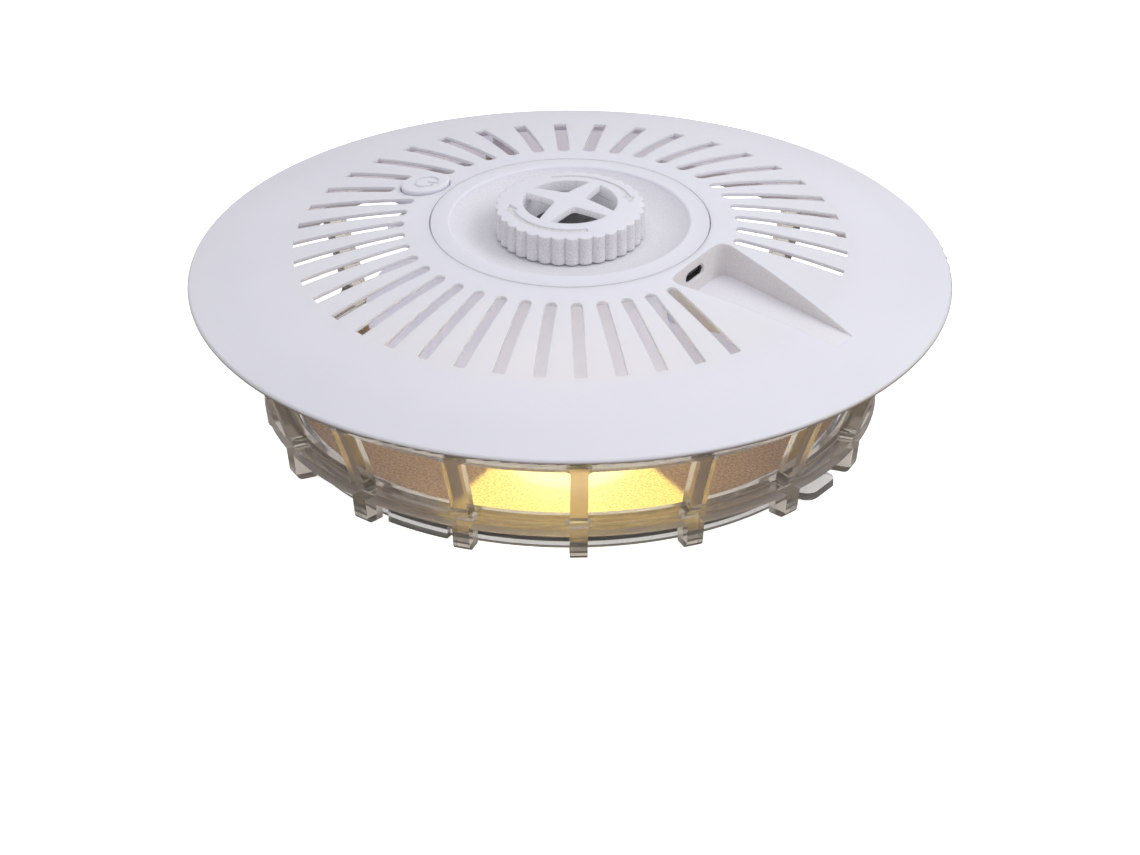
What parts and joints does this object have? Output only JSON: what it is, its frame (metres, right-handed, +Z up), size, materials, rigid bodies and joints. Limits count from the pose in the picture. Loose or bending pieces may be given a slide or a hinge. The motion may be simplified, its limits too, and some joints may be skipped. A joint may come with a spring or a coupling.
{
  "type": "pheromone insect trap",
  "caption": "Round tabletop insect trap: vented dome with a twist knob and power button on a clear ribbed cage over a dish with a yellow sticky disc.",
  "frame": {"origin": "on the table, under the middle of the trap, level with the bottoms of its feet", "axes": "+Z up along the axis of the dome and knob; +X along the pocket for the power lead, with the power button on the -X side"},
  "size_m": [0.21, 0.21, 0.068],
  "materials": {
    "white_shell": "satin moulded plastic",
    "white_textured": "fine spark-textured moulded plastic",
    "seal_rubber": "soft rubber",
    "lure_grey": "dull porous block",
    "switch_black": "moulded black",
    "board_green": "lacquered board",
    "board_white": "white lacquered board",
    "screw_steel": "zinc plated",
    "wire_red": "insulated wire",
    "socket_steel": "plated sheet",
    "socket_black": "moulded black",
    "can_aluminium": "drawn can",
    "lens_warm": "frosted, lit from behind",
    "reflector": "vacuum plated",
    "led_warm": "phosphor coated",
    "clear_plastic": "clear moulded polystyrene",
    "card_yellow": "yellow printed card",
    "glue_gloss": "wet glossy adhesive"
  },
  "bodies": {
    "tray": {"glue_tray": "clear_plastic", "sticky_card": "card_yellow", "glue_layer": "glue_gloss"},
    "housing": {"trap_cage": "clear_plastic", "dome_cover": "white_shell", "well_insert": "white_textured", "knob_seal": "seal_rubber", "tact_switch": "switch_black", "button_board": "board_green", "button_board_screws": "screw_steel", "button_wires": "wire_red", "circuit_board": "board_green", "board_screws": "screw_steel", "usb_socket": "socket_steel", "usb_tongue": "socket_black", "control_chip": "switch_black", "board_capacitors": "can_aluminium", "lamp_wires": "wire_red", "lamp_housing": "white_shell", "housing_screws": "screw_steel", "lamp_lens": "lens_warm", "lamp_reflector": "reflector", "lamp_board": "board_white", "lamp_leds": "led_warm", "cage_screws": "screw_steel"},
    "lure": {"lure_cup": "white_textured", "lure_block": "lure_grey"},
    "knob": {"twist_knob": "white_textured"},
    "button": {"power_button": "white_shell", "tact_plunger": "switch_black"}
  },
  "joints": [
    {"name": "housing_lift", "type": "slide", "parent": "tray", "child": "housing", "axis": [0, 0, 1], "range_m": [0, 0.05]},
    {"name": "lure_lift", "type": "slide", "parent": "housing", "child": "lure", "axis": [0, 0, 1], "range_m": [0, 0.03]},
    {"name": "knob_twist", "type": "hinge", "parent": "lure", "child": "knob", "pos_m": [0, 0, 0.062], "axis": [0, 0, 1], "range_deg": [-45, 0]},
    {"name": "button_press", "type": "slide", "parent": "housing", "child": "button", "axis": [0, 0, -1], "range_m": [0, 0.0008], "stiffness_N_per_m": 800, "springref_m": -0.0005}
  ]
}
